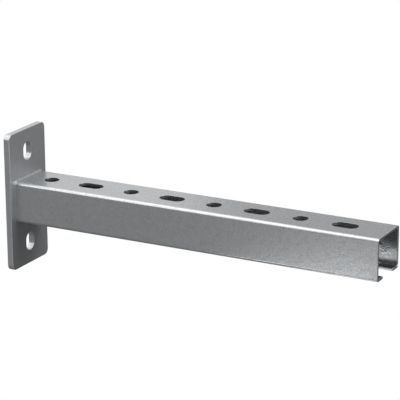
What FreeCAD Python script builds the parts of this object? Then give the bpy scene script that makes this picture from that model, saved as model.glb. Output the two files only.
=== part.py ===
import FreeCAD, Part
import os
import Sketcher

# Cantilever wall bracket: a flat steel plate with two upright slots, and an arm welded to it.
# The arm is a channel folded from one sheet: a web on top with a row of holes, two side walls,
# and two lips turned inwards underneath with an open mouth between them.
# Frame: origin at the middle of the plate's back, +X out from the wall, +Z up, millimetres.

SIZES = [
    ("plate_thickness", 5.0),
    ("plate_beside_arm", 6.0),
    ("plate_beyond_arm", 38.0),
    ("plate_corner_radius", 4.5),
    ("plate_edge_radius", 0.5),
    ("wall_slot_width", 11.0),
    ("wall_slot_length", 14.5),
    ("wall_slot_to_plate_end", 17.5),
    ("arm_length", 300.0),
    ("channel_width", 38.0),
    ("channel_height", 32.0),
    ("sheet_thickness", 2.0),
    ("bend_inside_radius", 0.5),
    ("lip_width", 10.0),
    ("first_hole_from_plate", 21.5),
    ("hole_pitch", 35.0),
    ("round_hole_diameter", 11.5),
    ("web_slot_width", 11.5),
    ("web_slot_length", 20.0),
    ("least_end_margin", 10.0),
    ("weld_leg", 1.2),
    ("weld_crown", 0.1),
]

# Sizes that follow from the driving ones, as rules for the sketches below.
HALF_PLATE_WIDTH = "(sizes.channel_width / 2 + sizes.plate_beside_arm)"
HALF_PLATE_HEIGHT = "(sizes.channel_height / 2 + sizes.plate_beyond_arm)"
WALL_SLOT_HEIGHT = f"({HALF_PLATE_HEIGHT} - sizes.wall_slot_to_plate_end)"
HALF_WIDTH = "sizes.channel_width / 2"
HALF_HEIGHT = "sizes.channel_height / 2"
BEND_OUTSIDE_RADIUS = "(sizes.bend_inside_radius + sizes.sheet_thickness)"
SECOND_HOLE_FROM_PLATE = "(sizes.first_hole_from_plate + sizes.hole_pitch)"
ROOM_FOR_HOLES = (
    "(sizes.arm_length - sizes.first_hole_from_plate"
    " - sizes.web_slot_length / 2 - sizes.least_end_margin)"
)
HOLES_IN_WEB = f"(floor({ROOM_FOR_HOLES} / sizes.hole_pitch) + 1)"
WELD_START_HEIGHT = f"(-{HALF_HEIGHT} + {BEND_OUTSIDE_RADIUS} + sizes.weld_leg)"
WELD_FACE_RADIUS = "((sizes.weld_leg ^ 2 / 2 + sizes.weld_crown ^ 2) / (2 * sizes.weld_crown))"

ORIGIN_POINT = (-1, 1)
ACROSS_AXIS = -1
UP_AXIS = -2
START, END, CENTRE = range(1, 4)
DECIMALS_SHOWN = 3


doc = FreeCAD.newDocument("wall_bracket")
sheet = doc.addObject("Spreadsheet::Sheet", "sizes")
for row, (alias, value) in enumerate(SIZES, start=1):
    sheet.set(f"A{row}", alias)
    sheet.set(f"B{row}", str(value))
    sheet.setAlias(f"B{row}", alias)
doc.recompute()


def value_of(rule):
    """The number that a rule gives with the sheet's present sizes; no rule means 0."""
    return float(sheet.evalExpression(rule.replace("sizes.", ""))) if rule else 0.0


def new_body(name):
    """An empty piece, whose label names its file."""
    body = doc.addObject("PartDesign::Body", name)
    body.Label = name
    return body


def origin_feature(body, role):
    """One of the piece's own base planes or axes."""
    return next(item for item in body.Origin.OriginFeatures if item.Role == role)


def new_sketch(body, name, plane):
    """A sketch on one of the piece's own base planes."""
    sketch = body.newObject("Sketcher::SketchObject", name)
    sketch.AttachmentSupport = (origin_feature(body, plane), [""])
    sketch.MapMode = "FlatFace"
    return sketch


def tie(sketch, name, kind, points, rule):
    """A named constraint whose value is bound to a rule."""
    index = sketch.addConstraint(Sketcher.Constraint(kind, *points, value_of(rule)))
    sketch.renameConstraint(index, name)
    sketch.setExpression(f"Constraints.{name}", rule)


def place_point(sketch, name, point, across, up):
    """Fix a point by rules for its two distances from the origin; None puts it on that axis."""
    if across is None:
        sketch.addConstraint(Sketcher.Constraint("PointOnObject", *point, UP_AXIS))
    else:
        tie(sketch, f"{name}_across", "DistanceX", (*ORIGIN_POINT, *point), across)
    if up is None:
        sketch.addConstraint(Sketcher.Constraint("PointOnObject", *point, ACROSS_AXIS))
    else:
        tie(sketch, f"{name}_up", "DistanceY", (*ORIGIN_POINT, *point), up)


def corner_arc(before, corner, after, radius):
    """The tangent arc that rounds a corner, and the points where it leaves the two lines."""
    arrive = (corner - before).normalize()
    leave = (after - corner).normalize()
    first = corner - arrive * radius
    last = corner + leave * radius
    centre = first + leave * radius
    middle = centre + (corner - centre).normalize() * radius
    return Part.Arc(first, middle, last), first, last


def turns_left(before, corner, after):
    """Whether a path turns to the left at a corner."""
    return (corner - before).cross(after - corner).z > 0


def square_path(sketch, lines, end_heights=None):
    """Upright and level lines by turns, each placed by its rule, with rounded corners between.

    A line is (name, "up" or "across", the rule that places it, the radius at its end or None).
    The path closes on itself, or starts and ends at the two heights that are given.
    """
    count = len(lines)
    places = [value_of(rule) for name, direction, rule, radius in lines]
    corners = []
    for index, (name, direction, rule, radius) in enumerate(lines):
        pair = (places[index], places[(index + 1) % count])
        corners.append(FreeCAD.Vector(*pair) if direction == "up" else FreeCAD.Vector(*reversed(pair)))
    starts = [corners[index - 1] for index in range(count)]
    stops = list(corners)
    if end_heights:
        starts[0] = FreeCAD.Vector(places[0], value_of(end_heights[0]))
        stops[-1] = FreeCAD.Vector(places[-1], value_of(end_heights[1]))

    # Corner number n lies between line n and the line after it.
    bends = {}
    line_starts = list(starts)
    line_stops = list(stops)
    for index, (name, direction, rule, radius) in enumerate(lines):
        if radius is None:
            continue
        after = (index + 1) % count
        corner = (starts[index], corners[index], stops[after])
        bends[index], line_stops[index], line_starts[after] = corner_arc(*corner, value_of(radius))

    drawn = [
        sketch.addGeometry(Part.LineSegment(start, stop), False)
        for start, stop in zip(line_starts, line_stops)
    ]
    for index, (name, direction, rule, radius) in enumerate(lines):
        line = drawn[index]
        after = (index + 1) % count
        upright = direction == "up"
        sketch.addConstraint(Sketcher.Constraint("Vertical" if upright else "Horizontal", line))
        place = (*ORIGIN_POINT, line, START)
        tie(sketch, name, "DistanceX" if upright else "DistanceY", place, rule)
        if radius is not None:
            arc = sketch.addGeometry(bends[index], False)
            ends = (START, END)
            if not turns_left(starts[index], corners[index], stops[after]):
                ends = (END, START)
            sketch.addConstraint(Sketcher.Constraint("Tangent", line, END, arc, ends[0]))
            sketch.addConstraint(Sketcher.Constraint("Tangent", arc, ends[1], drawn[after], START))
            tie(sketch, f"{name}_bend", "Radius", (arc,), radius)
        elif after > 0 or not end_heights:
            sketch.addConstraint(Sketcher.Constraint("Coincident", line, END, drawn[after], START))
    if end_heights:
        first_point = (*ORIGIN_POINT, drawn[0], START)
        last_point = (*ORIGIN_POINT, drawn[-1], END)
        tie(sketch, "path_start", "DistanceY", first_point, end_heights[0])
        tie(sketch, "path_end", "DistanceY", last_point, end_heights[1])


def circle_outline(sketch, across, up, diameter):
    """A round hole's outline, placed by rules."""
    centre = FreeCAD.Vector(value_of(across), value_of(up), 0)
    circle = Part.Circle(centre, FreeCAD.Vector(0, 0, 1), value_of(diameter) / 2)
    hole = sketch.addGeometry(circle, False)
    place_point(sketch, "centre", (hole, CENTRE), across, up)
    tie(sketch, "diameter", "Diameter", (hole,), diameter)


def slot_outline(sketch, across, up, width, length, upright):
    """A slot's outline with half-round ends, centred by rules, lying across or standing upright."""
    half_travel = f"({length} - {width}) / 2"
    radius = value_of(width) / 2
    run = FreeCAD.Vector(0, 1, 0) if upright else FreeCAD.Vector(1, 0, 0)
    side = FreeCAD.Vector(-run.y, run.x, 0) * radius
    middle = FreeCAD.Vector(value_of(across), value_of(up), 0)
    low_centre = middle - run * value_of(half_travel)
    high_centre = middle + run * value_of(half_travel)
    low_end = Part.Arc(low_centre + side, low_centre - run * radius, low_centre - side)
    high_end = Part.Arc(high_centre - side, high_centre + run * radius, high_centre + side)
    outline = [
        low_end,
        Part.LineSegment(low_centre - side, high_centre - side),
        high_end,
        Part.LineSegment(high_centre + side, low_centre + side),
    ]
    low, right, high, left = [sketch.addGeometry(edge, False) for edge in outline]
    for before, after in ((low, right), (right, high), (high, left), (left, low)):
        sketch.addConstraint(Sketcher.Constraint("Tangent", before, END, after, START))
    sketch.addConstraint(Sketcher.Constraint("Equal", low, high))
    tie(sketch, "end_radius", "Radius", (low,), f"{width} / 2")
    for name, arc, sign in (("low_end", low, "-"), ("high_end", high, "+")):
        if upright:
            place_point(sketch, name, (arc, CENTRE), across, f"{up} {sign} {half_travel}")
        else:
            place_point(sketch, name, (arc, CENTRE), f"{across} {sign} {half_travel}", up)


def pad(body, name, sketch, length):
    """Thicken a sketch's outline by a size."""
    feature = body.newObject("PartDesign::Pad", name)
    feature.Profile = sketch
    feature.setExpression("Length", length)
    doc.recompute()
    return feature


def cut_through(body, name, sketch):
    """Cut an outline through all metal on its sketch's front side, and see that metal went."""
    before = body.Shape.Volume
    feature = body.newObject("PartDesign::Pocket", name)
    feature.Profile = sketch
    feature.Type = "ThroughAll"
    feature.Reversed = True
    doc.recompute()
    if feature.Shape.Volume >= before:
        raise RuntimeError(f"{name} cut nothing")
    return feature


def repeat_along(body, name, feature, sketch, spacing, count):
    """Repeat a cut along its sketch's first axis."""
    pattern = body.newObject("PartDesign::LinearPattern", name)
    pattern.Originals = [feature]
    pattern.Direction = (sketch, ["H_Axis"])
    pattern.Mode = "Spacing"
    pattern.setExpression("Offset", spacing)
    pattern.setExpression("Occurrences", count)
    body.Tip = pattern
    doc.recompute()
    return pattern


def mirror(body, name, feature, plane):
    """Mirror a feature to the other side of one of the piece's own base planes."""
    mirrored = body.newObject("PartDesign::Mirrored", name)
    mirrored.Originals = [feature]
    mirrored.MirrorPlane = (origin_feature(body, plane), [""])
    body.Tip = mirrored
    doc.recompute()
    return mirrored


def make_back_plate():
    """The flat plate that bolts to the wall: rounded corners, broken edges and two upright slots."""
    body = new_body("back_plate")
    outline = new_sketch(body, "plate_outline", "YZ_Plane")
    corner = "sizes.plate_corner_radius"
    square_path(outline, [
        ("near_side", "up", f"-{HALF_PLATE_WIDTH}", corner),
        ("top_end", "across", HALF_PLATE_HEIGHT, corner),
        ("far_side", "up", HALF_PLATE_WIDTH, corner),
        ("bottom_end", "across", f"-{HALF_PLATE_HEIGHT}", corner),
    ])
    slab = pad(body, "plate_slab", outline, "sizes.plate_thickness")

    flats = [
        f"Face{number}"
        for number, face in enumerate(slab.Shape.Faces, start=1)
        if abs(face.normalAt(0, 0).x) > 0.5
    ]
    edges = body.newObject("PartDesign::Fillet", "plate_edges")
    edges.Base = (slab, flats)
    edges.setExpression("Radius", "sizes.plate_edge_radius")
    doc.recompute()

    slot = new_sketch(body, "upper_wall_slot_outline", "YZ_Plane")
    slot_outline(
        slot,
        None,
        WALL_SLOT_HEIGHT,
        "sizes.wall_slot_width",
        "sizes.wall_slot_length",
        upright=True,
    )
    upper = cut_through(body, "upper_wall_slot", slot)
    mirror(body, "lower_wall_slot", upper, "XY_Plane")
    return body


def make_channel_arm():
    """The arm: one folded sheet, drawn as its section and run out from the plate's face."""
    body = new_body("channel_arm")
    body.setExpression("Placement.Base.x", "sizes.plate_thickness")
    section = new_sketch(body, "folded_section", "YZ_Plane")
    sheet_in = "sizes.sheet_thickness"
    inside = "sizes.bend_inside_radius"
    lip = "sizes.lip_width"
    square_path(section, [
        ("near_wall_outside", "up", f"-{HALF_WIDTH}", BEND_OUTSIDE_RADIUS),
        ("web_outside", "across", HALF_HEIGHT, BEND_OUTSIDE_RADIUS),
        ("far_wall_outside", "up", HALF_WIDTH, BEND_OUTSIDE_RADIUS),
        ("far_lip_outside", "across", f"-{HALF_HEIGHT}", None),
        ("far_lip_tip", "up", f"{HALF_WIDTH} - {lip}", None),
        ("far_lip_inside", "across", f"-{HALF_HEIGHT} + {sheet_in}", inside),
        ("far_wall_inside", "up", f"{HALF_WIDTH} - {sheet_in}", inside),
        ("web_inside", "across", f"{HALF_HEIGHT} - {sheet_in}", inside),
        ("near_wall_inside", "up", f"-{HALF_WIDTH} + {sheet_in}", inside),
        ("near_lip_inside", "across", f"-{HALF_HEIGHT} + {sheet_in}", None),
        ("near_lip_tip", "up", f"-{HALF_WIDTH} + {lip}", None),
        ("near_lip_outside", "across", f"-{HALF_HEIGHT}", BEND_OUTSIDE_RADIUS),
    ])
    pad(body, "channel", section, "sizes.arm_length")

    # The mouth is open, so a cut upwards from half height meets the web alone.
    spacing = "2 * sizes.hole_pitch"
    round_hole = new_sketch(body, "round_hole_outline", "XY_Plane")
    circle_outline(round_hole, "sizes.first_hole_from_plate", None, "sizes.round_hole_diameter")
    first_hole = cut_through(body, "first_round_hole", round_hole)
    round_holes = f"floor(({HOLES_IN_WEB} + 1) / 2)"
    repeat_along(body, "round_holes", first_hole, round_hole, spacing, round_holes)

    web_slot = new_sketch(body, "web_slot_outline", "XY_Plane")
    slot_outline(
        web_slot,
        SECOND_HOLE_FROM_PLATE,
        None,
        "sizes.web_slot_width",
        "sizes.web_slot_length",
        upright=False,
    )
    first_slot = cut_through(body, "first_web_slot", web_slot)
    web_slots = f"floor({HOLES_IN_WEB} / 2)"
    repeat_along(body, "web_slots", first_slot, web_slot, spacing, web_slots)
    return body


def make_weld_bead():
    """The fillet weld: one bead up the near wall, over the web and down the far wall."""
    body = new_body("weld_bead")
    body.setExpression("Placement.Base.x", "sizes.plate_thickness")
    path = new_sketch(body, "weld_path", "YZ_Plane")
    square_path(path, [
        ("near_wall", "up", f"-{HALF_WIDTH}", BEND_OUTSIDE_RADIUS),
        ("web", "across", HALF_HEIGHT, BEND_OUTSIDE_RADIUS),
        ("far_wall", "up", HALF_WIDTH, None),
    ], end_heights=(WELD_START_HEIGHT, WELD_START_HEIGHT))

    section = new_sketch(body, "weld_section", "XY_Plane")
    section.setExpression("AttachmentOffset.Base.z", WELD_START_HEIGHT)
    leg = value_of("sizes.weld_leg")
    root_y = -value_of(HALF_WIDTH)
    face_radius = value_of(WELD_FACE_RADIUS)
    root = FreeCAD.Vector(0, root_y, 0)
    arm_toe = root + FreeCAD.Vector(leg, 0, 0)
    plate_toe = root - FreeCAD.Vector(0, leg, 0)
    outwards = FreeCAD.Vector(1, -1, 0).normalize()
    crown_point = (arm_toe + plate_toe) * 0.5 + outwards * value_of("sizes.weld_crown")
    on_arm = section.addGeometry(Part.LineSegment(root, arm_toe), False)
    on_plate = section.addGeometry(Part.LineSegment(plate_toe, root), False)
    face = section.addGeometry(Part.Arc(plate_toe, crown_point, arm_toe), False)
    section.addConstraint(Sketcher.Constraint("Coincident", on_plate, END, on_arm, START))
    section.addConstraint(Sketcher.Constraint("Coincident", face, START, on_plate, START))
    section.addConstraint(Sketcher.Constraint("Coincident", face, END, on_arm, END))
    section.addConstraint(Sketcher.Constraint("Horizontal", on_arm))
    section.addConstraint(Sketcher.Constraint("Vertical", on_plate))
    section.addConstraint(Sketcher.Constraint("Equal", on_arm, on_plate))
    place_point(section, "root", (on_arm, START), None, f"-{HALF_WIDTH}")
    tie(section, "leg", "DistanceX", (on_arm, START, on_arm, END), "sizes.weld_leg")
    tie(section, "face_radius", "Radius", (face,), WELD_FACE_RADIUS)
    doc.recompute()

    bead = body.newObject("PartDesign::AdditivePipe", "bead")
    bead.Profile = section
    bead.Spine = (path, [f"Edge{number + 1}" for number in range(len(path.Shape.Edges))])
    doc.recompute()

    end_cap = body.newObject("PartDesign::Revolution", "near_bead_end")
    end_cap.Profile = section
    end_cap.ReferenceAxis = (section, ["Edge1"])
    end_cap.Angle = 90
    doc.recompute()
    mirror(body, "far_bead_end", end_cap, "XZ_Plane")
    return body


bodies = [make_back_plate(), make_channel_arm(), make_weld_bead()]
doc.recompute()

for item in doc.Objects:
    if {"Invalid", "Error"} & set(item.State):
        raise RuntimeError(f"{item.Name} failed: {item.State}")
    if item.TypeId == "Sketcher::SketchObject" and not item.FullyConstrained:
        raise RuntimeError(f"{item.Name} isn't fully constrained")
for body in bodies:
    shape = body.Shape
    if shape.isNull() or not shape.isValid() or len(shape.Solids) != 1:
        raise RuntimeError(f"{body.Label} isn't one valid solid")

os.makedirs("parts", exist_ok=True)
for body in bodies:
    body.Shape.exportStep(f"parts/{body.Label}.step")
    box = body.Shape.optimalBoundingBox(True, False)
    low = [round(value, DECIMALS_SHOWN) for value in (box.XMin, box.YMin, box.ZMin)]
    high = [round(value, DECIMALS_SHOWN) for value in (box.XMax, box.YMax, box.ZMax)]
    volume = round(body.Shape.Volume, DECIMALS_SHOWN)
    print(body.Label, "from", low, "to", high, "volume", volume)
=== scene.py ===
import math
import random

import bmesh
import bpy
from bpy.props import FloatProperty, FloatVectorProperty, IntProperty, PointerProperty
from mathutils import Matrix, Vector


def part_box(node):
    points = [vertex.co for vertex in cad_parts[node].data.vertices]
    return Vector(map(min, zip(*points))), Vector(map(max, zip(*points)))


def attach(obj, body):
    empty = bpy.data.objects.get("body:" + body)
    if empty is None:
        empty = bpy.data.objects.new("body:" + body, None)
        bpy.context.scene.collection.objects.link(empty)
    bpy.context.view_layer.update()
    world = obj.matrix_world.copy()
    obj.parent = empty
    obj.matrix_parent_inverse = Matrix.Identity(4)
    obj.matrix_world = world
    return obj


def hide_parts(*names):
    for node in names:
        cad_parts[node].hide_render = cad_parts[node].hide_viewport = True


bl_info = {
    "name": "Welded wall bracket",
    "version": (1, 0, 0),
    "blender": (4, 5, 0),
    "location": "View3D > Sidebar > Bracket",
    "description": "A zinc-plated back plate with a folded channel arm welded to it",
    "category": "Object",
}

# Everything is in metres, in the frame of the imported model: origin at the middle of the plate's
# back, +X out from the wall along the arm, +Z up.
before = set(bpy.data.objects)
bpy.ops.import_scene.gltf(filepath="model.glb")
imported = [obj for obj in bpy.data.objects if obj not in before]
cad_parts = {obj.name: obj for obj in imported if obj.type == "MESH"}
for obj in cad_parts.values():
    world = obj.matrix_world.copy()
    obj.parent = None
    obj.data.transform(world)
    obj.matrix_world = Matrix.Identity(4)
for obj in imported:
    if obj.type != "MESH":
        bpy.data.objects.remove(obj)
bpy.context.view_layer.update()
PLATE_LOW, PLATE_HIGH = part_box("back_plate")
ARM_LOW, ARM_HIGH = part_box("channel_arm")
MM = 0.001
SAME_PLACE = 0.02 * MM
SQUARE_ON = 0.9     # a face looks along an axis when this much of its normal does
PUNCH_SIDES = 72


# Sizes and colours


class PlateSizes(bpy.types.PropertyGroup):
    corner_radius: FloatProperty(
        name="Corner radius", description="Radius of the plate's four corners",
        default=4.5 * MM, min=0.0, unit="LENGTH", precision=4)
    edge_round: FloatProperty(
        name="Edge round", description="Round that breaks the edges of the flats",
        default=0.45 * MM, min=0.0, unit="LENGTH", precision=4)
    slot_width: FloatProperty(
        name="Slot width", description="Width of the two upright slots",
        default=11 * MM, min=0.0, unit="LENGTH", precision=4)
    slot_length: FloatProperty(
        name="Slot length", description="Length of the two upright slots, ends included",
        default=14.5 * MM, min=0.0, unit="LENGTH", precision=4)
    slot_spacing: FloatProperty(
        name="Slot spacing", description="Height between the middles of the two slots",
        default=73 * MM, min=0.0, unit="LENGTH", precision=4)
    slot_edge: FloatProperty(
        name="Slot edge", description="Round that the punch leaves on the slots' edges",
        default=0.15 * MM, min=0.0, unit="LENGTH", precision=5)


class ArmSizes(bpy.types.PropertyGroup):
    sheet: FloatProperty(
        name="Sheet", description="Thickness of the folded sheet",
        default=2 * MM, min=0.0, unit="LENGTH", precision=4)
    bend_radius: FloatProperty(
        name="Bend radius", description="Outside radius of the four bends",
        default=2.5 * MM, min=0.0, unit="LENGTH", precision=4)
    bend_steps: IntProperty(
        name="Bend steps", description="Strips that make up the round of one bend",
        default=12, min=2)
    lip_width: FloatProperty(
        name="Lip width", description="From the side wall's outside to the lip's free edge",
        default=10 * MM, min=0.0, unit="LENGTH", precision=4)
    first_hole: FloatProperty(
        name="First hole", description="From the plate's front to the first round hole",
        default=21.5 * MM, min=0.0, unit="LENGTH", precision=4)
    hole_pitch: FloatProperty(
        name="Hole pitch", description="From a round hole to the slot beside it",
        default=35 * MM, min=0.0, unit="LENGTH", precision=4)
    hole_pairs: IntProperty(
        name="Hole pairs", description="Round holes, each with a slot after it",
        default=4, min=1)
    hole_width: FloatProperty(
        name="Hole width", description="Width of the round holes and of the slots",
        default=11.5 * MM, min=0.0, unit="LENGTH", precision=4)
    slot_length: FloatProperty(
        name="Slot length", description="Length of the slots in the web, ends included",
        default=20 * MM, min=0.0, unit="LENGTH", precision=4)
    punched_edge: FloatProperty(
        name="Punched edge", description="Round that the punch draws down on the web's top",
        default=0.1 * MM, min=0.0, unit="LENGTH", precision=5)
    burr_edge: FloatProperty(
        name="Burr edge", description="Broken edge on the side where the punch came out",
        default=0.12 * MM, min=0.0, unit="LENGTH", precision=5)
    cut_edge: FloatProperty(
        name="Cut edge", description="Broken edge of the arm's free end and of the lips",
        default=0.45 * MM, min=0.0, unit="LENGTH", precision=5)


class WeldSizes(bpy.types.PropertyGroup):
    leg: FloatProperty(
        name="Leg", description="How far the bead reaches along the plate and along the arm",
        default=1.2 * MM, min=0.0, unit="LENGTH", precision=4)
    hollow: FloatProperty(
        name="Hollow", description="Profile of the bead's face: a quarter is flat, less is hollow",
        default=0.17, min=0.0, max=1.0, subtype="FACTOR")
    face_steps: IntProperty(
        name="Face steps", description="Strips across the bead's face", default=6, min=1)
    ripple_pitch: FloatProperty(
        name="Ripple pitch", description="Length of one ripple along the bead",
        default=1.2 * MM, min=0.0, unit="LENGTH", precision=5)
    ripple_steps: IntProperty(
        name="Ripple steps", description="Rings in one ripple", default=4, min=2)
    ripple_rise: FloatProperty(
        name="Ripple rise", description="Share of the bead's size that a ripple stands up by",
        default=0.05, min=0.0, max=0.3, subtype="FACTOR")


class Finish(bpy.types.PropertyGroup):
    zinc: FloatVectorProperty(
        name="Zinc", description="Colour of the plated plate and arm",
        default=(0.45, 0.463, 0.476), min=0.0, max=1.0, subtype="COLOR")
    # Painted light: the inside colour is a brighter copy of the zinc that stands in for light
    # inside the shaded channel.
    inside: FloatVectorProperty(
        name="Inside", description="Colour of the brighter zinc inside the arm",
        default=(0.47, 0.484, 0.498), min=0.0, max=1.0, subtype="COLOR")
    weld: FloatVectorProperty(
        name="Weld", description="Colour of the plated weld",
        default=(0.29, 0.3, 0.31), min=0.0, max=1.0, subtype="COLOR")
    # The cut-steel colour is partly painted shade: on the walls of the web's holes it stands in
    # for the shade inside them.
    cut: FloatVectorProperty(
        name="Cut steel", description="Colour of the sheet's cut ends and of the punched walls",
        default=(0.13, 0.135, 0.14), min=0.0, max=1.0, subtype="COLOR")
    roughness: FloatProperty(
        name="Roughness", description="Roughness of the zinc",
        default=0.33, min=0.0, max=1.0, subtype="FACTOR")
    metallic: FloatProperty(
        name="Metallic", description="Share of bare metal in the zinc; the rest is dull bloom",
        default=0.8, min=0.0, max=1.0, subtype="FACTOR")


class Studio(bpy.types.PropertyGroup):
    camera_place: FloatVectorProperty(
        name="Camera place", description="Where the photograph was taken from",
        default=(0.80265, -1.20853, 0.44685), subtype="TRANSLATION", unit="LENGTH", precision=5)
    camera_turn: FloatProperty(
        name="Camera turn", description="Turn of the view from +Y towards -X",
        default=math.radians(28.192), subtype="ANGLE")
    camera_tilt: FloatProperty(
        name="Camera tilt", description="How far the view looks down",
        default=math.radians(17.365), subtype="ANGLE")
    camera_roll: FloatProperty(
        name="Camera roll", description="Turn of the picture about its middle",
        default=math.radians(-0.31), subtype="ANGLE")
    lens: FloatProperty(
        name="Lens", description="Focal length in millimetres on a sensor 36 mm wide",
        default=175.95, min=1.0)
    floor_height: FloatProperty(
        name="Floor height", description="Height of the studio floor",
        default=-0.6, unit="LENGTH")
    floor_tone: FloatProperty(
        name="Floor tone", description="How pale the paper on the floor looks to the camera",
        default=0.6, min=0.0, max=1.0, subtype="FACTOR")
    floor_echo: FloatProperty(
        name="Floor echo", description="Share of the floor's light that goes back to the bracket",
        default=0.18, min=0.0, max=1.0, subtype="FACTOR")
    key_power: FloatProperty(
        name="Key lamp", description="Power of the soft lamp overhead",
        default=2.6, min=0.0, unit="POWER")
    back_power: FloatProperty(
        name="Back lamp", description="Power of the soft lamp behind the plate",
        default=0.25, min=0.0, unit="POWER")
    end_power: FloatProperty(
        name="End lamp", description="Power of the small lamp low by the arm's free end",
        default=0.036, min=0.0, unit="POWER")
    under_power: FloatProperty(
        name="Under lamp", description="Power of the small lamp below the arm, aimed at its end",
        default=0.04, min=0.0, unit="POWER")
    low_power: FloatProperty(
        name="Low lamp", description="Power of the soft lamp low in front",
        default=0.26, min=0.0, unit="POWER")
    fill_power: FloatProperty(
        name="Fill lamps", description="Power of the left lamp; the right one has four times it",
        default=2.0, min=0.0, unit="POWER")


# Working by hand


def clear_choice():
    """Back to object mode with nothing selected."""
    if bpy.context.mode != "OBJECT":
        bpy.ops.object.mode_set(mode="OBJECT")
    bpy.ops.object.select_all(action="DESELECT")


def take(piece):
    """Select one piece alone and make it active."""
    clear_choice()
    piece.select_set(True)
    bpy.context.view_layer.objects.active = piece


def settle(piece):
    """Put a piece's place, turn and size into its mesh."""
    take(piece)
    bpy.ops.object.transform_apply(location=True, rotation=True, scale=True)


def name_new(name):
    """Name the object that was just added, and settle it."""
    piece = bpy.context.object
    piece.name = name
    piece.data.name = name
    settle(piece)
    return piece


def add_block(name, low, high):
    """A block between two corners."""
    clear_choice()
    bpy.ops.mesh.primitive_cube_add(size=1, location=(low + high) / 2, scale=high - low)
    return name_new(name)


def edit(piece):
    """Open one piece in edit mode."""
    take(piece)
    bpy.ops.object.mode_set(mode="EDIT")


def choose(piece, kind, test):
    """Select the vertices, edges or faces of the piece in edit mode that pass a test."""
    bpy.ops.mesh.select_mode(type=kind)
    bpy.ops.mesh.select_all(action="DESELECT")
    shape = bmesh.from_edit_mesh(piece.data)
    shape.normal_update()
    items = {"VERT": shape.verts, "EDGE": shape.edges, "FACE": shape.faces}[kind]
    found = [item for item in items if test(item)]
    if not found:
        raise RuntimeError(f"{piece.name}: nothing was found to work on")
    for item in found:
        item.select_set(True)
    shape.select_flush_mode()
    bmesh.update_edit_mesh(piece.data)


def middle_of(edge):
    """The middle of an edge."""
    return (edge.verts[0].co + edge.verts[1].co) / 2


def runs_along_arm(edge):
    """Whether an edge is parallel to X."""
    run = (edge.verts[1].co - edge.verts[0].co).normalized()
    return abs(run.x) > 0.999


def is_sharp(edge):
    """Whether the two faces at an edge meet nearly square."""
    return len(edge.link_faces) == 2 and edge.calc_face_angle(0) > math.radians(50)


def near(value, target):
    """Whether two places agree to a fiftieth of a millimetre."""
    return abs(value - target) < SAME_PLACE


def round_edges(width, steps):
    """Round the selected edges."""
    bpy.ops.mesh.bevel(offset_type="OFFSET", offset=width, segments=steps, profile=0.5,
                       affect="EDGES", clamp_overlap=True)


def finish_modifier(piece, modifier):
    """Apply a modifier to its piece."""
    take(piece)
    bpy.ops.object.modifier_apply(modifier=modifier.name)


def add_punch(name, centre, through, along, width, length, depth):
    """A punch for a round hole or a slot: a round bar whose two halves are drawn apart.

    through and along are the axes that it goes through and that a slot runs along, 0, 1 or 2.
    """
    clear_choice()
    bpy.ops.mesh.primitive_cylinder_add(
        vertices=PUNCH_SIDES, radius=width / 2, depth=depth,
        rotation=(0, 0, math.pi / PUNCH_SIDES))
    punch = name_new(name)
    if through == 0:
        punch.rotation_euler = (0, math.pi / 2, 0)
    punch.location = centre
    settle(punch)
    half_travel = (length - width) / 2
    if half_travel > 0:
        edit(punch)
        for side in (-1, 1):
            move = Vector((0, 0, 0))
            move[along] = side * half_travel
            choose(punch, "VERT", lambda v: side * (v.co[along] - centre[along]) > 0)
            bpy.ops.transform.translate(value=move)
    clear_choice()
    return punch


def repeat_row(punch, count, pitch):
    """Copy a punch along the arm."""
    row = punch.modifiers.new("row", "ARRAY")
    row.count = count
    row.use_relative_offset = False
    row.use_constant_offset = True
    row.constant_offset_displace = (pitch, 0, 0)
    finish_modifier(punch, row)


def punch_out(piece, punch):
    """Cut a punch's shape out of a piece and put the punch away."""
    cut = piece.modifiers.new("punched", "BOOLEAN")
    cut.operation = "DIFFERENCE"
    cut.solver = "EXACT"
    cut.object = punch
    finish_modifier(piece, cut)
    take(punch)
    bpy.ops.object.delete()


def give_material(piece, index, test):
    """Give the faces that pass a test the piece's material with an index."""
    edit(piece)
    choose(piece, "FACE", test)
    piece.active_material_index = index
    bpy.ops.object.material_slot_assign()
    clear_choice()


def shade(piece):
    """Smooth the rounds and keep the flats flat."""
    take(piece)
    bpy.ops.object.shade_smooth()
    weighted = piece.modifiers.new("flats_stay_flat", "WEIGHTED_NORMAL")
    weighted.keep_sharp = True
    finish_modifier(piece, weighted)
    clear_choice()


def hand_over(piece, node):
    """Let a finished piece stand for its CAD node and ride on the bracket."""
    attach(piece, "root")
    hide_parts(node)


# Materials


def add_node(tree, kind, spot, **settings):
    """A node at a spot of the tree's sheet. A setting named after an input fills that input."""
    node = tree.nodes.new(kind)
    node.location = spot
    for key, value in settings.items():
        words = key.replace("_", " ").title()
        if words in node.inputs:
            node.inputs[words].default_value = value
        else:
            setattr(node, key, value)
    return node


def new_sheet(name, metallic):
    """An empty material with its output and its metal shader."""
    material = bpy.data.materials.new(name)
    material.use_nodes = True
    tree = material.node_tree
    tree.nodes.clear()
    output = add_node(tree, "ShaderNodeOutputMaterial", (600, 0))
    shader = add_node(tree, "ShaderNodeBsdfPrincipled", (300, 0), metallic=metallic)
    tree.links.new(shader.outputs["BSDF"], output.inputs["Surface"])
    return material, tree, shader


def math_node(tree, spot, operation, first, second):
    """A Math node; first and second are sockets or numbers."""
    node = add_node(tree, "ShaderNodeMath", spot, operation=operation)
    for socket, value in zip(node.inputs, (first, second)):
        if isinstance(value, (int, float)):
            socket.default_value = value
        else:
            tree.links.new(value, socket)
    return node.outputs[0]


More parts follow.
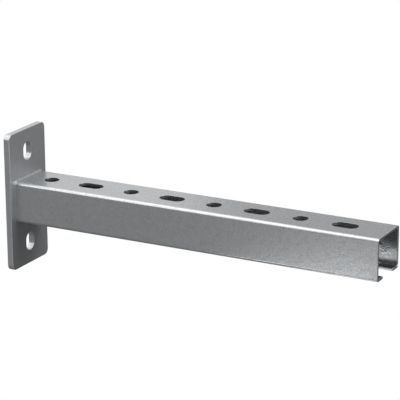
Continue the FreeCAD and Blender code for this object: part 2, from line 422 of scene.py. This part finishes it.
def satin_zinc_group():
    """The node group for a plated surface: grain, soft crystals, wide clouds and faint streaks."""
    name = "satin_zinc"
    if name in bpy.data.node_groups:
        return bpy.data.node_groups[name]
    group = bpy.data.node_groups.new(name, "ShaderNodeTree")
    faces = group.interface
    faces.new_socket("Place", in_out="INPUT", socket_type="NodeSocketVector")
    faces.new_socket("Colour", in_out="INPUT", socket_type="NodeSocketColor")
    for label, value in (
        ("Grain Size", 0.7), ("Crystal Size", 2.2), ("Grain", 0.2), ("Crystals", 0.15),
        ("Streaks", 0.1), ("Roughness", 0.35), ("Roughness Change", 0.1),
    ):
        socket = faces.new_socket(label, in_out="INPUT", socket_type="NodeSocketFloat")
        socket.default_value = value
    faces.new_socket("Colour", in_out="OUTPUT", socket_type="NodeSocketColor")
    faces.new_socket("Roughness", in_out="OUTPUT", socket_type="NodeSocketFloat")
    faces.new_socket("Height", in_out="OUTPUT", socket_type="NodeSocketFloat")

    get = add_node(group, "NodeGroupInput", (-1500, 0))
    give = add_node(group, "NodeGroupOutput", (900, 0))
    link = group.links.new

    # Feature sizes are given in millimetres, and the coordinates are in metres. The clouds are
    # about three crystals wide, and the streaks are fine across and drawn out along Z.
    clouds_per_crystal = 0.35
    streaks_per_metre = (1300.0, 1300.0, 90.0)
    grain_scale = math_node(group, (-1250, 250), "DIVIDE", 1 / MM, get.outputs["Grain Size"])
    crystal_scale = math_node(group, (-1250, 50), "DIVIDE", 1 / MM, get.outputs["Crystal Size"])
    cloud_scale = math_node(group, (-1250, -250), "MULTIPLY", crystal_scale, clouds_per_crystal)
    grain = add_node(group, "ShaderNodeTexNoise", (-1000, 300), detail=3.0, roughness=0.65)
    crystals = add_node(group, "ShaderNodeTexVoronoi", (-1000, 0), feature="SMOOTH_F1",
                        smoothness=0.7, randomness=1.0)
    clouds = add_node(group, "ShaderNodeTexNoise", (-1000, -300), detail=2.0, roughness=0.5)
    stretch = add_node(group, "ShaderNodeMapping", (-1250, -600), scale=streaks_per_metre)
    streaks = add_node(group, "ShaderNodeTexNoise", (-1000, -600), scale=1.0, detail=2.0)
    link(get.outputs["Place"], grain.inputs["Vector"])
    link(get.outputs["Place"], crystals.inputs["Vector"])
    link(get.outputs["Place"], clouds.inputs["Vector"])
    link(get.outputs["Place"], stretch.inputs["Vector"])
    link(stretch.outputs["Vector"], streaks.inputs["Vector"])
    link(grain_scale, grain.inputs["Scale"])
    link(crystal_scale, crystals.inputs["Scale"])
    link(cloud_scale, clouds.inputs["Scale"])

    def swing(texture_value, share, spot):
        """A texture's value about zero, times its share."""
        centred = math_node(group, spot, "SUBTRACT", texture_value, 0.5)
        return math_node(group, (spot[0] + 200, spot[1]), "MULTIPLY", centred, share)

    tone = add_node(group, "ShaderNodeSeparateColor", (-800, 0))
    link(crystals.outputs["Color"], tone.inputs["Color"])
    grain_swing = swing(grain.outputs[0], get.outputs["Grain"], (-600, 300))
    crystal_swing = swing(tone.outputs[0], get.outputs["Crystals"], (-600, 0))
    cloud_swing = swing(clouds.outputs[0], get.outputs["Crystals"], (-600, -300))
    streak_swing = swing(streaks.outputs[0], get.outputs["Streaks"], (-600, -600))
    pair = math_node(group, (-200, 150), "ADD", grain_swing, crystal_swing)
    others = math_node(group, (-200, -150), "ADD", cloud_swing, streak_swing)
    whole = math_node(group, (0, 0), "ADD", pair, others)
    light = math_node(group, (200, 200), "ADD", whole, 1.0)

    colour = add_node(group, "ShaderNodeVectorMath", (450, 200), operation="SCALE")
    link(get.outputs["Colour"], colour.inputs[0])
    link(light, colour.inputs["Scale"])
    link(colour.outputs[0], give.inputs["Colour"])
    rough = math_node(group, (200, -100), "MULTIPLY", whole, get.outputs["Roughness Change"])
    link(math_node(group, (450, -100), "SUBTRACT", get.outputs["Roughness"], rough),
         give.inputs["Roughness"])
    link(whole, give.inputs["Height"])
    return group


def plated(name, colour, relief, metallic=None, **values):
    """A zinc-plated metal: the shared group with this piece's own values, by its inputs' names.

    relief is the depth of its bumps. Without a metallic of its own, it has the finish's.
    """
    if metallic is None:
        metallic = bpy.context.scene.bracket_finish.metallic
    material, tree, shader = new_sheet(name, metallic)
    place = add_node(tree, "ShaderNodeTexCoord", (-700, 0))
    skin = add_node(tree, "ShaderNodeGroup", (-400, 0), node_tree=satin_zinc_group())
    skin.inputs["Colour"].default_value = (*colour, 1.0)
    for label, value in values.items():
        skin.inputs[label.replace("_", " ").title()].default_value = value
    bump = add_node(tree, "ShaderNodeBump", (0, -250), strength=1.0, distance=relief)
    tree.links.new(place.outputs["Object"], skin.inputs["Place"])
    tree.links.new(skin.outputs["Colour"], shader.inputs["Base Color"])
    tree.links.new(skin.outputs["Roughness"], shader.inputs["Roughness"])
    tree.links.new(skin.outputs["Height"], bump.inputs["Height"])
    tree.links.new(bump.outputs["Normal"], shader.inputs["Normal"])
    return material


def cut_steel_and_painted_shade(finish):
    """Sheared and punched faces: dull, with shear marks through the sheet, and darker: partly the
    bare cut steel's own tone, partly painted shade, which on the walls of the web's holes stands
    in for the shade inside the holes.
    """
    return plated("cut_steel_and_painted_shade", finish.cut, relief=0.08 * MM, grain_size=0.4, crystal_size=1.2,
                  grain=0.5, crystals=0.2, streaks=0.4, roughness=0.5, roughness_change=0.2)


# The bracket's pieces


class BRACKET_OT_back_plate(bpy.types.Operator):
    """Cut the back plate, round its corners, break its edges and punch its two slots"""

    bl_idname = "bracket.back_plate"
    bl_label = "Back plate"

    def execute(self, context):
        sizes = context.scene.bracket_plate
        finish = context.scene.bracket_finish
        plate = add_block("plate", PLATE_LOW, PLATE_HIGH)
        edit(plate)
        choose(plate, "EDGE", runs_along_arm)
        round_edges(sizes.corner_radius, steps=10)
        choose(plate, "EDGE", is_sharp)
        round_edges(sizes.edge_round, steps=3)

        middle = (PLATE_LOW + PLATE_HIGH) / 2
        depth = 3 * (PLATE_HIGH.x - PLATE_LOW.x)
        for side in (-1, 1):
            centre = middle + Vector((0, 0, side * sizes.slot_spacing / 2))
            punch = add_punch("slot_punch", centre, through=0, along=2, width=sizes.slot_width,
                              length=sizes.slot_length, depth=depth)
            punch_out(plate, punch)
        edit(plate)
        choose(plate, "EDGE", is_sharp)
        round_edges(sizes.slot_edge, steps=3)
        shade(plate)

        plate.data.materials.append(
            plated("plate_zinc", finish.zinc, relief=0.3 * MM, grain_size=1.2, crystal_size=2.4,
                   grain=0.2, crystals=0.08, streaks=0.04, roughness=finish.roughness,
                   roughness_change=0.25))
        hand_over(plate, "back_plate")
        return {"FINISHED"}


class BRACKET_OT_channel_arm(bpy.types.Operator):
    """Fold the channel arm from one sheet, punch the row of holes and break its cut edges"""

    bl_idname = "bracket.channel_arm"
    bl_label = "Channel arm"

    def fold(self, sizes):
        """The folded sheet: a block's skin with its ends and mouth open, given its thickness."""
        arm = add_block("arm", ARM_LOW, ARM_HIGH)
        mouth = ARM_HIGH.y - sizes.lip_width

        def looks_down(face):
            """Whether a face is part of the underside."""
            return face.normal.z < -SQUARE_ON

        edit(arm)
        choose(arm, "FACE", lambda f: abs(f.normal.x) > SQUARE_ON)
        bpy.ops.mesh.delete(type="FACE")
        for side in (-1, 1):
            choose(arm, "FACE", looks_down)
            bpy.ops.mesh.bisect(plane_co=(0, side * mouth, 0), plane_no=(0, 1, 0))
        choose(arm, "FACE", lambda f: looks_down(f) and abs(f.calc_center_median().y) < mouth)
        bpy.ops.mesh.delete(type="FACE")
        choose(arm, "EDGE", lambda e: runs_along_arm(e) and near(abs(middle_of(e).y), ARM_HIGH.y))
        round_edges(sizes.bend_radius, sizes.bend_steps)
        clear_choice()

        thickness = arm.modifiers.new("sheet", "SOLIDIFY")
        thickness.thickness = sizes.sheet
        thickness.offset = -1
        thickness.use_even_offset = True
        thickness.use_rim = True
        finish_modifier(arm, thickness)
        return arm

    def punch_row(self, arm, sizes):
        """The row in the web: round holes and slots by turns."""
        centre = Vector((ARM_LOW.x + sizes.first_hole, 0, ARM_HIGH.z - sizes.sheet / 2))
        pitch = Vector((sizes.hole_pitch, 0, 0))
        for name, place, length in (
            ("hole_punch", centre, sizes.hole_width),
            ("slot_punch", centre + pitch, sizes.slot_length),
        ):
            punch = add_punch(name, place, through=2, along=0, width=sizes.hole_width,
                              length=length, depth=3 * sizes.sheet)
            repeat_row(punch, sizes.hole_pairs, 2 * sizes.hole_pitch)
            punch_out(arm, punch)

    def web_band(self, sizes):
        """The web's top and underside, and half the row's width with 0.1 mm to spare."""
        return ARM_HIGH.z, ARM_HIGH.z - sizes.sheet, sizes.hole_width / 2 + 0.1 * MM

    def break_edges(self, arm, sizes):
        """Drawn-down rims where the punch went in, and broken edges where the sheet was cut."""
        top, under, in_row = self.web_band(sizes)
        mouth = ARM_HIGH.y - sizes.lip_width

        def on_rim(edge, height):
            """Whether an edge goes round a hole at this height."""
            middle = middle_of(edge)
            inside = ARM_LOW.x + MM < middle.x < ARM_HIGH.x - MM
            return is_sharp(edge) and inside and abs(middle.y) < in_row and near(middle.z, height)

        def was_cut(edge):
            """Whether an edge lies at the free end or along a lip."""
            middle = middle_of(edge)
            at_end = near(middle.x, ARM_HIGH.x)
            at_mouth = runs_along_arm(edge) and near(abs(middle.y), mouth)
            return is_sharp(edge) and (at_end or at_mouth)

        edit(arm)
        choose(arm, "EDGE", lambda e: on_rim(e, top))
        round_edges(sizes.punched_edge, steps=3)
        choose(arm, "EDGE", lambda e: on_rim(e, under))
        round_edges(sizes.burr_edge, steps=1)
        choose(arm, "EDGE", was_cut)
        round_edges(sizes.cut_edge, steps=2)

    def coat(self, arm, sizes, finish):
        """Zinc all over, a brighter copy of it on the inside faces as painted light against the
        shade inside the channel, and cut steel where the sheet was cut, its dark colour partly
        painted shade.
        """
        cut_and_shade_index, inside_index = 1, 2
        arm.data.materials.append(
            plated("arm_zinc", finish.zinc, relief=0.3 * MM, grain_size=1.0, crystal_size=2.2,
                   grain=0.25, crystals=0.1, streaks=0.05, roughness=finish.roughness - 0.07,
                   roughness_change=0.24))
        arm.data.materials.append(cut_steel_and_painted_shade(finish))
        # The third material is the zinc painted brighter, as painted light inside the shaded
        # channel.
        arm.data.materials.append(
            plated("inside_zinc_painted_light", finish.inside, relief=0.6 * MM, metallic=1.0, grain_size=1.0,
                   crystal_size=2.2, grain=0.4, crystals=0.2, streaks=0.15,
                   roughness=finish.roughness - 0.17, roughness_change=0.3))
        top, under, in_row = self.web_band(sizes)
        nearly_sheet = 0.9 * sizes.sheet

        def is_cut(face):
            """Whether a face is the sheet's cut end or a wall of a hole."""
            middle = face.calc_center_median()
            end = near(middle.x, ARM_HIGH.x)
            hole = abs(middle.y) < in_row and under < middle.z < top and abs(face.normal.z) < 0.2
            return end or hole

        def is_inside(face):
            """Whether a face lies inside the channel."""
            middle = face.calc_center_median()
            between_walls = abs(middle.y) < ARM_HIGH.y - nearly_sheet
            return between_walls and (
                ARM_LOW.z + nearly_sheet < middle.z < ARM_HIGH.z - nearly_sheet)

        # The inside faces get the brighter zinc: painted light in the channel's shade.
        give_material(arm, inside_index, is_inside)
        # The walls of the holes get the dark cut steel as painted shade for the hollow of the
        # holes, and the free end gets it partly as painted shade too.
        give_material(arm, cut_and_shade_index, is_cut)

    def execute(self, context):
        sizes = context.scene.bracket_arm
        arm = self.fold(sizes)
        self.punch_row(arm, sizes)
        self.break_edges(arm, sizes)
        shade(arm)
        self.coat(arm, sizes, context.scene.bracket_finish)
        hand_over(arm, "channel_arm")
        return {"FINISHED"}


class BRACKET_OT_weld_bead(bpy.types.Operator):
    """Lay the fillet weld up the near wall, over the web and down the far wall, in ripples"""

    bl_idname = "bracket.weld_bead"
    bl_label = "Weld bead"

    def section(self, sizes, root):
        """The bead's section at its low end: a square whose outer corner is cut to the face."""
        leg = sizes.leg
        clear_choice()
        bpy.ops.mesh.primitive_plane_add(size=leg, location=root + Vector((leg, -leg, 0)) / 2)
        bead = name_new("weld")
        edit(bead)
        choose(bead, "VERT", lambda v: v.co.x > root.x + leg / 2 and v.co.y < root.y - leg / 2)
        bpy.ops.mesh.bevel(offset=leg, segments=sizes.face_steps, profile=sizes.hollow,
                           affect="VERTICES")
        bpy.ops.mesh.select_all(action="SELECT")
        bpy.ops.mesh.remove_doubles(threshold=SAME_PLACE)
        return bead

    def path(self, bend, cap, foot):
        """The bead's way: (step's direction, its length and, in a bend, the bend's middle).

        It starts and ends at the height of foot, with a rounded cap.
        """
        high = ARM_HIGH.z - bend
        quarter = bend * math.pi / 2
        near_bend = Vector((PLATE_HIGH.x, ARM_LOW.y + bend, high))
        far_bend = Vector((PLATE_HIGH.x, ARM_HIGH.y - bend, high))
        up, across = Vector((0, 0, 1)), Vector((0, 1, 0))
        return (
            (up, cap, None),
            (up, high - foot - cap, None),
            (None, quarter, near_bend),
            (across, ARM_HIGH.y - ARM_LOW.y - 2 * bend, None),
            (None, quarter, far_bend),
            (-up, high - foot - cap, None),
            (-up, cap, None),
        )

    def execute(self, context):
        sizes = context.scene.bracket_weld
        finish = context.scene.bracket_finish
        bend = context.scene.bracket_arm.bend_radius
        foot, cap = ARM_LOW.z + bend, sizes.leg
        root = Vector((PLATE_HIGH.x, ARM_LOW.y, foot))
        bead = self.section(sizes, root)
        path = self.path(bend, cap, foot)
        whole = sum(length for _, length, _ in path)
        step = sizes.ripple_pitch / sizes.ripple_steps
        chance = random.Random(7)
        size_now, ring, done, rise = 1.0, 0, 0.0, sizes.ripple_rise

        def wanted_size():
            """The ripple's size here, drawn in to a round at both ends of the bead.

            The hundredths of a cap that are added keep the end rings from closing to a point.
            """
            phase = (ring % sizes.ripple_steps) / sizes.ripple_steps
            from_end = min(1.0, (min(done, whole - done) + 0.02 * cap) / cap)
            return (1 + rise * (0.5 - phase)) * math.sqrt(from_end * (2 - from_end))

        def resize(to):
            """Scale the bead's newest ring about its root."""
            grow = to / size_now
            bpy.ops.transform.resize(value=(grow, grow, grow), center_override=root)
            return to

        size_now = resize(wanted_size())
        for way, length, pivot in path:
            count = max(1, round(length / step))
            for _ in range(count):
                bpy.ops.mesh.extrude_region_move()
                if way:
                    move = way * (length / count)
                    bpy.ops.transform.translate(value=move)
                    root = root + move
                else:
                    angle = math.pi / 2 / count
                    bpy.ops.transform.rotate(value=angle, orient_axis="X", center_override=pivot)
                    root = pivot + Matrix.Rotation(-angle, 3, "X") @ (root - pivot)
                ring += 1
                done += length / count
                if ring % sizes.ripple_steps == 0:
                    rise = sizes.ripple_rise * chance.uniform(0.6, 1.3)
                size_now = resize(wanted_size())
        clear_choice()
        shade(bead)
        bead.data.materials.append(
            plated("weld_zinc", finish.weld, relief=0.2 * MM, grain_size=0.6, crystal_size=1.4,
                   grain=0.25, crystals=0.15, streaks=0.0, roughness=finish.roughness + 0.25,
                   roughness_change=0.3))
        hand_over(bead, "weld_bead")
        return {"FINISHED"}


class BRACKET_OT_studio(bpy.types.Operator):
    """Set up the paper sweep, the soft lamps and the camera at the photograph's place"""

    bl_idname = "bracket.studio"
    bl_label = "Studio"

    def paper(self, studio):
        """Pale paper: it shades on the floor, and stands up white for the camera and the metal.

        The floor is paler to the camera than in the light that it sends back to the bracket.
        """
        material = bpy.data.materials.new("studio_paper")
        material.use_nodes = True
        tree = material.node_tree
        tree.nodes.clear()
        output = add_node(tree, "ShaderNodeOutputMaterial", (900, 0))
        tone = add_node(tree, "ShaderNodeMapRange", (-250, 250))
        tone.inputs["To Min"].default_value = studio.floor_echo
        tone.inputs["To Max"].default_value = studio.floor_tone
        paper = add_node(tree, "ShaderNodeBsdfDiffuse", (0, 100))
        white = add_node(tree, "ShaderNodeEmission", (0, -50), strength=1.0)
        clear = add_node(tree, "ShaderNodeBsdfTransparent", (300, -200))
        ray = add_node(tree, "ShaderNodeLightPath", (-900, 0))
        side = add_node(tree, "ShaderNodeNewGeometry", (300, 300))
        place = add_node(tree, "ShaderNodeTexCoord", (-900, 400))
        height = add_node(tree, "ShaderNodeSeparateXYZ", (-700, 400))
        tree.links.new(place.outputs["Object"], height.inputs[0])
        tree.links.new(ray.outputs["Is Camera Ray"], tone.inputs["Value"])
        tree.links.new(tone.outputs[0], paper.inputs["Color"])

        def white_from(start, end, spot, rays):
            """Where these rays see white: from start above the floor, and fully from end."""
            rise = add_node(tree, "ShaderNodeMapRange", spot, interpolation_type="SMOOTHSTEP")
            rise.inputs["From Min"].default_value = studio.floor_height + start
            rise.inputs["From Max"].default_value = studio.floor_height + end
            tree.links.new(height.outputs["Z"], rise.inputs["Value"])
            return math_node(tree, (spot[0] + 200, spot[1]), "MULTIPLY", rays, rise.outputs[0])

        bounced = math_node(tree, (-700, -50), "MAXIMUM", ray.outputs["Is Glossy Ray"],
                            ray.outputs["Is Transmission Ray"])
        seen = math_node(
            tree, (-50, 200), "MAXIMUM",
            white_from(0.04, 0.23, (-500, 400), ray.outputs["Is Camera Ray"]),
            white_from(0.3, 0.55, (-500, 0), bounced))
        front = add_node(tree, "ShaderNodeMixShader", (300, 0))
        whole = add_node(tree, "ShaderNodeMixShader", (600, 0))
        tree.links.new(seen, front.inputs[0])
        tree.links.new(paper.outputs[0], front.inputs[1])
        tree.links.new(white.outputs[0], front.inputs[2])
        tree.links.new(side.outputs["Backfacing"], whole.inputs[0])
        tree.links.new(front.outputs[0], whole.inputs[1])
        tree.links.new(clear.outputs[0], whole.inputs[2])
        tree.links.new(whole.outputs[0], output.inputs["Surface"])
        return material

    def sweep(self, studio):
        """Floor and backdrop in one curved sheet, turned to face the camera."""
        left, right, front, back, top = -0.7, 0.27, -0.6, 0.5, 0.7
        bend = 0.15
        clear_choice()
        bpy.ops.mesh.primitive_plane_add(size=1, location=(0, 0, 0))
        sheet = name_new("paper_sweep")
        # A plane is always added square, so it gets its length and width here.
        sheet.scale = (right - left, back - front, 1)
        sheet.location = ((left + right) / 2, (front + back) / 2, 0)
        settle(sheet)
        edit(sheet)
        choose(sheet, "EDGE", lambda e: middle_of(e).y > back - MM)
        bpy.ops.mesh.extrude_region_move(TRANSFORM_OT_translate={"value": (0, 0, top)})
        choose(sheet, "EDGE", lambda e: near(middle_of(e).y, back) and near(middle_of(e).z, 0))
        round_edges(bend, steps=12)
        clear_choice()
        middle = (ARM_LOW + ARM_HIGH) / 2
        sheet.rotation_euler = (0, 0, studio.camera_turn)
        sheet.location = (middle.x, middle.y, studio.floor_height)
        settle(sheet)
        bpy.ops.object.shade_smooth()
        sheet.data.materials.append(self.paper(studio))

    def soft_lamp(self, name, place, aim, size, power):
        """A soft rectangular lamp that points at a place."""
        clear_choice()
        bpy.ops.object.light_add(type="AREA", location=place)
        lamp = bpy.context.object
        lamp.name = name
        lamp.data.shape = "RECTANGLE"
        lamp.data.size, lamp.data.size_y = size
        lamp.data.energy = power
        lamp.visible_camera = False
        lamp.rotation_euler = (Vector(aim) - Vector(place)).to_track_quat("-Z", "Y").to_euler()

    def height_ramp(self, tree, height, spot, stops):
        """A grey for each height of the sky, from straight down at -1 to straight up at 1."""
        ramp = add_node(tree, "ShaderNodeValToRGB", spot)
        marks = ramp.color_ramp.elements
        for index, (place, grey) in enumerate(stops):
            mark = marks[index] if index < 2 else marks.new(1.0)     # a new ramp has two
            mark.position = (place + 1) / 2
            mark.color = (grey, grey, grey, 1)
        tree.links.new(height, ramp.inputs[0])
        return ramp.outputs[0]

    def towards(self, tree, way, spot, turn, tilt, start, end):
        """How near the view's way is to one direction, from 0 at start to 1 at end.

        The direction is given in degrees: its turn from +X towards +Y, and its tilt upwards.
        """
        level = math.cos(math.radians(tilt))
        along = Vector((math.cos(math.radians(turn)) * level, math.sin(math.radians(turn)) * level,
                        math.sin(math.radians(tilt))))
        product = add_node(tree, "ShaderNodeVectorMath", spot, operation="DOT_PRODUCT")
        product.inputs[1].default_value = along
        reach = add_node(tree, "ShaderNodeMapRange", (spot[0] + 200, spot[1]),
                         interpolation_type="SMOOTHSTEP")
        reach.inputs["From Min"].default_value = start
        reach.inputs["From Max"].default_value = end
        tree.links.new(way, product.inputs[0])
        tree.links.new(product.outputs["Value"], reach.inputs["Value"])
        return reach.outputs[0]

    def world(self):
        """Grey room: bright above, pale low down behind the bracket, one dark corner there.

        Each ramp is a list of (height, grey), for the side in front and the side behind.
        """
        world = bpy.data.worlds.new("studio_room")
        bpy.context.scene.world = world
        world.use_nodes = True
        tree = world.node_tree
        tree.nodes.clear()
        output = add_node(tree, "ShaderNodeOutputWorld", (900, 0))
        light = add_node(tree, "ShaderNodeBackground", (700, 0))
        place = add_node(tree, "ShaderNodeTexCoord", (-900, 0))
        axes = add_node(tree, "ShaderNodeSeparateXYZ", (-700, 0))
        way = place.outputs["Generated"]
        tree.links.new(way, axes.inputs[0])
        height = math_node(tree, (-500, 0), "MULTIPLY", axes.outputs["Z"], 0.5)
        height = math_node(tree, (-300, 0), "ADD", height, 0.5)
        front = self.height_ramp(tree, height, (-100, 100), (
            (-1.0, 0.05), (-0.6, 0.12), (-0.3, 0.33), (0.1, 0.3), (0.4, 0.9), (0.7, 1.5)))
        behind = self.height_ramp(tree, height, (-100, -200), (
            (-1.0, 0.05), (-0.6, 0.12), (-0.1, 0.4), (0.1, 0.7),
            (0.3, 0.17), (0.42, 0.17), (0.56, 0.9), (0.7, 1.3)))
        back = self.towards(tree, way, (-500, 300), turn=70, tilt=0, start=-0.8, end=0.8)
        corner = self.towards(tree, way, (-500, -500), turn=55, tilt=-20, start=0.65, end=0.95)
        room = add_node(tree, "ShaderNodeMix", (300, 0), data_type="RGBA")
        dark = add_node(tree, "ShaderNodeMix", (500, 0), data_type="RGBA")
        dark.inputs["B"].default_value = (0.065, 0.065, 0.065, 1)
        tree.links.new(back, room.inputs["Factor"])
        tree.links.new(front, room.inputs["A"])
        tree.links.new(behind, room.inputs["B"])
        tree.links.new(corner, dark.inputs["Factor"])
        tree.links.new(room.outputs["Result"], dark.inputs["A"])
        tree.links.new(dark.outputs["Result"], light.inputs["Color"])
        tree.links.new(light.outputs[0], output.inputs["Surface"])

    def camera(self, studio):
        """The camera, at the place and turn that the photograph was fitted with."""
        clear_choice()
        bpy.ops.object.camera_add()
        camera = bpy.context.object
        camera.name = "camera"
        turn = Matrix.Rotation(studio.camera_turn, 4, "Z")
        tilt = Matrix.Rotation(math.pi / 2 - studio.camera_tilt, 4, "X")
        roll = Matrix.Rotation(studio.camera_roll, 4, "Z")
        camera.matrix_world = Matrix.Translation(studio.camera_place) @ turn @ tilt @ roll
        camera.data.sensor_fit = "HORIZONTAL"
        camera.data.sensor_width = 36
        camera.data.lens = studio.lens
        bpy.context.scene.camera = camera

    def execute(self, context):
        studio = context.scene.bracket_studio
        self.sweep(studio)
        self.world()
        for name, place, aim, size, power in (
            ("key_lamp", (-0.15, -0.25, 0.95), (0.15, 0, 0), (1.0, 0.6), studio.key_power),
            ("back_lamp", (-0.3, 0.38, 0.3), (0.12, 0, 0), (0.5, 0.35), studio.back_power),
            ("end_lamp", (0.185, -0.15, -0.1), (0.26, 0, 0), (0.12, 0.04), studio.end_power),
            ("under_lamp", (0.21, -0.03, -0.2), (0.26, 0, 0), (0.1, 0.06), studio.under_power),
            ("low_lamp", (0.15, -0.85, -0.3), (0.05, 0, 0), (0.5, 0.4), studio.low_power),
            ("left_fill", (-0.7, -1.1, 0.75), (0.1, 0, 0), (0.6, 0.6), studio.fill_power),
            ("right_fill", (1.0, 0.1, 0.38), (0, 0, 0.03), (0.4, 0.4), studio.fill_power * 4),
        ):
            self.soft_lamp(name, place, aim, size, power)
        self.camera(studio)
        context.scene.view_settings.view_transform = "Standard"
        return {"FINISHED"}


class BRACKET_PT_sidebar(bpy.types.Panel):
    """The bracket's pieces and sizes"""

    bl_idname = "BRACKET_PT_sidebar"
    bl_label = "Wall bracket"
    bl_space_type = "VIEW_3D"
    bl_region_type = "UI"
    bl_category = "Bracket"

    def draw(self, context):
        for operator, group in STEPS:
            box = self.layout.box()
            box.operator(operator.bl_idname)
            if group:
                sizes = getattr(context.scene, group)
                for key in sizes.__annotations__:
                    box.prop(sizes, key)
        box = self.layout.box()
        for key in context.scene.bracket_finish.__annotations__:
            box.prop(context.scene.bracket_finish, key)


STEPS = (
    (BRACKET_OT_back_plate, "bracket_plate"),
    (BRACKET_OT_channel_arm, "bracket_arm"),
    (BRACKET_OT_weld_bead, "bracket_weld"),
    (BRACKET_OT_studio, "bracket_studio"),
)
GROUPS = (
    ("bracket_plate", PlateSizes),
    ("bracket_arm", ArmSizes),
    ("bracket_weld", WeldSizes),
    ("bracket_finish", Finish),
    ("bracket_studio", Studio),
)


def register():
    """Make the sizes, the operators and the panel known to Blender."""
    for name, group in GROUPS:
        bpy.utils.register_class(group)
        setattr(bpy.types.Scene, name, PointerProperty(type=group))
    for operator, _ in STEPS:
        bpy.utils.register_class(operator)
    bpy.utils.register_class(BRACKET_PT_sidebar)


def unregister():
    """Take all of it away again."""
    bpy.utils.unregister_class(BRACKET_PT_sidebar)
    for operator, _ in reversed(STEPS):
        bpy.utils.unregister_class(operator)
    for name, group in reversed(GROUPS):
        delattr(bpy.types.Scene, name)
        bpy.utils.unregister_class(group)


def main():
    """Build the bracket and its studio."""
    register()
    bpy.ops.bracket.back_plate()
    bpy.ops.bracket.channel_arm()
    bpy.ops.bracket.weld_bead()
    bpy.ops.bracket.studio()


if __name__ == "__main__":
    main()
